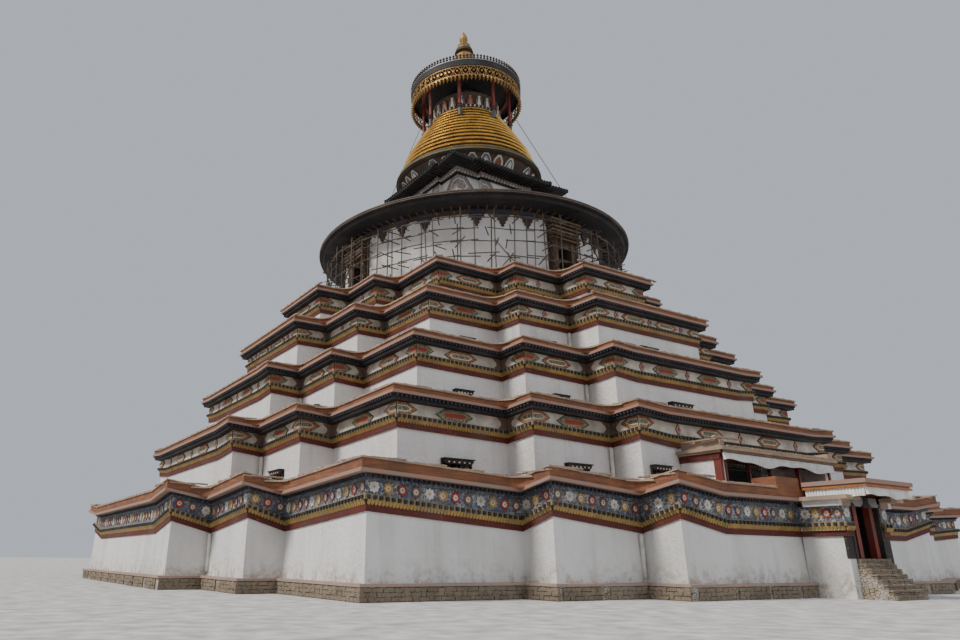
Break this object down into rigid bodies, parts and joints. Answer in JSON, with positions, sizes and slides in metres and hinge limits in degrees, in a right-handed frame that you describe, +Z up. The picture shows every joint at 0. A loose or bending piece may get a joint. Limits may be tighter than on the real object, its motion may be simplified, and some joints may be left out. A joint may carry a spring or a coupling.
{
  "type": "scale model of a terraced stupa",
  "caption": "Terraced stupa with stepped white storeys, painted cornices, a round drum, a cone of gilded rings, a parasol and an entrance gate, as a half-size model",
  "frame": {"origin": "on the building's axis at ground level, in the middle of the ground face", "axes": "+Z up, the entrance gate's side faces -Y, +X to the right of somebody who faces the gate from outside"},
  "size_m": [26.2, 27.55, 24.6],
  "materials": {
    "rubble": "rough split stone, unpainted",
    "whitewash": "masonry under lime wash, matt and streaked",
    "slab": "dull slabs stained with red clay",
    "clay": "beaten clay parapet, matt",
    "painted_cornice": "painted plaster, maroon band and painted frieze",
    "dark_timber": "weathered timber, nearly black",
    "scaffold_pole": "round poles, dry and unpainted",
    "red_timber": "timber painted red, satin",
    "door_surround": "embossed sheet, brown and gold, dulled",
    "gilding": "gilded sheet, bright but weathered",
    "painted_panel": "painted panels, satin",
    "cloth": "pleated cotton cloth",
    "cable": "thin wire rope"
  },
  "bodies": {
    "root": {"plinth": "rubble", "tier_1_wall": "whitewash", "tier_1_cornice": "painted_cornice", "tier_1_roof_slab": "slab", "tier_1_parapet": "clay", "tier_2_wall": "whitewash", "tier_2_cornice": "painted_cornice", "tier_2_roof_slab": "slab", "tier_2_parapet": "clay", "tier_3_wall": "whitewash", "tier_3_cornice": "painted_cornice", "tier_3_roof_slab": "slab", "tier_3_parapet": "clay", "tier_4_wall": "whitewash", "tier_4_cornice": "painted_cornice", "tier_4_roof_slab": "slab", "tier_4_parapet": "clay", "tier_5_wall": "whitewash", "tier_5_cornice": "painted_cornice", "tier_5_roof_slab": "slab", "tier_5_parapet": "clay", "gate_left_wall": "whitewash", "gate_right_wall": "whitewash", "gate_steps": "rubble", "gate_frame": "red_timber", "gate_roof": "slab", "gate_block_left": "clay", "gate_block_right": "clay", "gate_valance": "cloth", "porch_left_wall": "whitewash", "porch_right_wall": "whitewash", "porch_frame": "red_timber", "porch_roof": "slab", "porch_valance": "cloth", "drum_wall_1": "whitewash", "drum_door_1": "door_surround", "drum_wall_2": "whitewash", "drum_door_2": "door_surround", "drum_wall_3": "whitewash", "drum_door_3": "door_surround", "drum_wall_4": "whitewash", "drum_door_4": "door_surround", "drum_roof": "dark_timber", "drum_scaffold": "scaffold_pole", "harmika_block": "whitewash", "harmika_cornice": "painted_cornice", "harmika_roof": "dark_timber", "lotus_base": "painted_panel", "thirteen_rings": "gilding", "panel_drum": "painted_panel", "parasol_posts": "red_timber", "parasol_roof": "gilding", "parasol_valance": "gilding", "finial": "gilding", "stay_1": "cable", "stay_2": "cable", "stay_3": "cable"}
  },
  "joints": []
}
